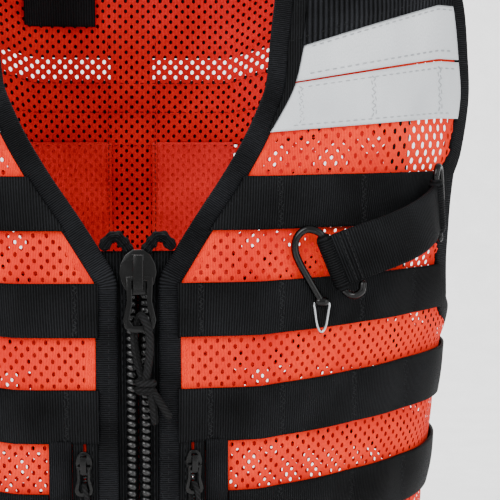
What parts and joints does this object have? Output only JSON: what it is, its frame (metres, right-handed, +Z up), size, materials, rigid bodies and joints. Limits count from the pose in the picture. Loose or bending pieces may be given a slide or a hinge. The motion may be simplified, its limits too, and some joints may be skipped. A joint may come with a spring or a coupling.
{
  "type": "utility work vest",
  "caption": "Orange mesh work vest with black webbing rows, silver chest tapes, a chunky coil zip, pocket zips and a side strap with wire snap hooks.",
  "frame": {"origin": "the point midway between the tops of the two shoulders, where the vest hangs on its wearer", "axes": "+Z up, -Y out of the front with its zip, +X to the wearer's left"},
  "size_m": [0.3428, 0.2236, 0.4999],
  "materials": {
    "orange_mesh": "open warp-knit polyester mesh",
    "spacer_mesh": "ribbed knitted spacer mesh",
    "black_webbing": "woven ribbed webbing",
    "reflective_tape": "matt silver retroreflective tape",
    "black_binding": "folded grosgrain binding",
    "coil_plastic": "satin coil",
    "black_metal": "matt black paint",
    "steel_wire": "bright drawn wire",
    "grey_cord": "braided cord"
  },
  "bodies": {
    "vest": {"front_mesh_left": "orange_mesh", "front_mesh_right": "orange_mesh", "back_mesh": "orange_mesh", "inner_panel_left": "orange_mesh", "inner_panel_right": "orange_mesh", "shoulder_yoke": "spacer_mesh", "neck_band_left": "black_webbing", "neck_band_right": "black_webbing", "back_band": "black_webbing", "back_centre_band": "black_webbing", "neck_label": "black_webbing", "side_strap": "black_webbing", "zip_tape_left": "black_webbing", "zip_tape_right": "black_webbing", "row_1_left": "black_webbing", "row_1_right": "black_webbing", "row_2_left": "black_webbing", "row_2_right": "black_webbing", "row_3_left": "black_webbing", "row_3_right": "black_webbing", "row_4_left": "black_webbing", "row_4_right": "black_webbing", "row_5_left": "black_webbing", "row_5_right": "black_webbing", "row_6_left": "black_webbing", "row_6_right": "black_webbing", "row_7_left": "black_webbing", "row_7_right": "black_webbing", "back_row_1": "black_webbing", "back_row_2": "black_webbing", "back_row_3": "black_webbing", "back_row_4": "black_webbing", "back_row_5": "black_webbing", "back_row_6": "black_webbing", "back_row_7": "black_webbing", "tape_upper_left": "reflective_tape", "tape_upper_right": "reflective_tape", "tape_lower_left": "reflective_tape", "tape_lower_right": "reflective_tape", "neck_binding": "black_binding", "armhole_binding_left": "black_binding", "armhole_binding_right": "black_binding", "hem_binding": "black_binding", "pocket_zip_left": "black_binding", "pocket_zip_right": "black_binding", "zip_teeth": "coil_plastic", "zip_end_left": "coil_plastic", "zip_end_right": "coil_plastic", "zip_slider": "black_metal", "zip_tab": "black_metal", "pocket_left_slider": "black_metal", "pocket_left_tab": "black_metal", "pocket_right_slider": "black_metal", "pocket_right_tab": "black_metal", "snap_hook_front": "black_metal", "snap_hook_side": "black_metal", "zip_cord": "grey_cord", "pocket_left_cord": "grey_cord", "pocket_right_cord": "grey_cord"},
    "gate": {"snap_gate": "steel_wire"}
  },
  "joints": [
    {"name": "snap_gate_hinge", "type": "hinge", "parent": "vest", "child": "gate", "pos_m": [0.08687, -0.1039, -0.20901], "axis": [-0.9961, 0.0883, 0.0045], "range_deg": [0, 105]}
  ]
}
